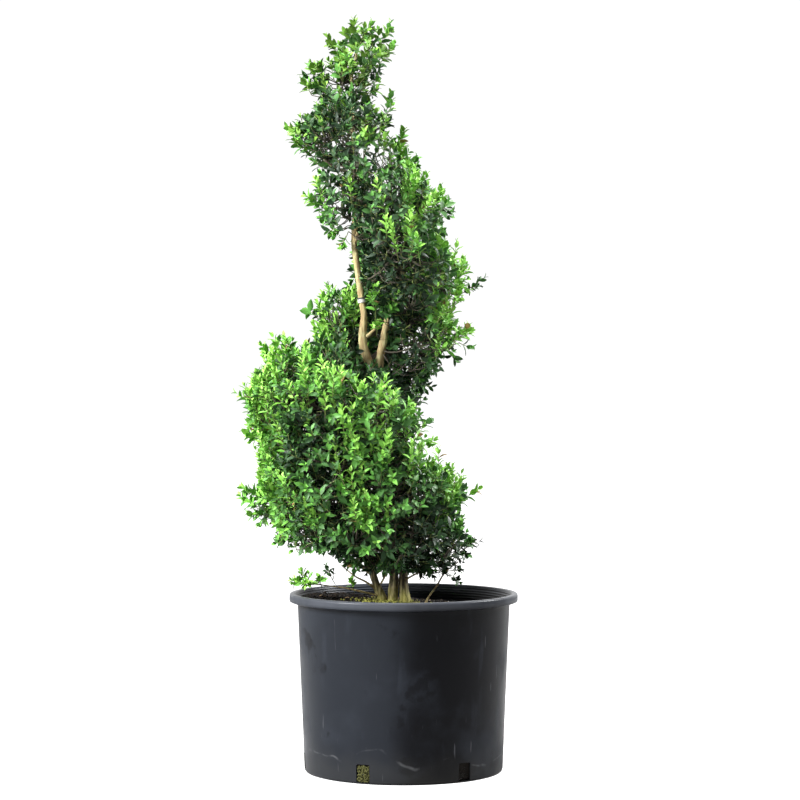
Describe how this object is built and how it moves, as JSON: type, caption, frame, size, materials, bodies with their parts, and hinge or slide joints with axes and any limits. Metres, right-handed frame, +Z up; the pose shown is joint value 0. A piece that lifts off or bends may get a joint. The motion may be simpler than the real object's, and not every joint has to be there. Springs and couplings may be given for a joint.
{
  "type": "spiral topiary in a nursery pot",
  "caption": "Clipped small-leaved evergreen shrub trained as a rising spiral round an exposed leaning stem, standing in a plain round black nursery pot filled with potting mix.",
  "frame": {"origin": "centre of the pot's flat underside, on the surface the pot stands on", "axes": "+Z up along the plant, -Y towards the front, where the stem shows in the spiral's groove, +X to the right seen from the front"},
  "size_m": [0.523, 0.4419, 1.395],
  "materials": {
    "pot_plastic": "injection-moulded black polypropylene, satin, scuffed and dusty near the foot",
    "potting_mix": "dark bark-based potting mix with brown bark flecks and a little perlite",
    "bark": "furrowed olive-brown bark at the foot, smooth light tan bark on the leader",
    "leaves": "small glossy leaves, lime green young growth over dark green older leaves"
  },
  "bodies": {
    "root": {"pot": "pot_plastic", "soil": "potting_mix", "trunk": "bark", "leader": "bark", "second_stem": "bark", "basal_stem": "bark", "basal_shoot": "bark", "bough_skirt_back": "bark", "bough_skirt_right": "bark", "bough_low_right": "bark", "bough_low_front": "bark", "bough_low_front_left": "bark", "bough_low_left": "bark", "bough_low_back_left": "bark", "bough_mid_back": "bark", "bough_mid_back_right": "bark", "bough_mid_right": "bark", "bough_mid_front_right": "bark", "bough_high_front": "bark", "bough_high_left": "bark", "bough_high_back": "bark", "bough_high_back_right": "bark", "foliage_skirt_back": "leaves", "foliage_skirt_right": "leaves", "foliage_low_right": "leaves", "foliage_low_front": "leaves", "foliage_low_front_left": "leaves", "foliage_low_left": "leaves", "foliage_low_back_left": "leaves", "foliage_mid_back": "leaves", "foliage_mid_back_right": "leaves", "foliage_mid_right": "leaves", "foliage_mid_front_right": "leaves", "foliage_high_front": "leaves", "foliage_high_left": "leaves", "foliage_high_back": "leaves", "foliage_high_back_right": "leaves", "foliage_tip": "leaves", "spray_low_left": "leaves", "spray_low_right": "leaves"}
  },
  "joints": []
}
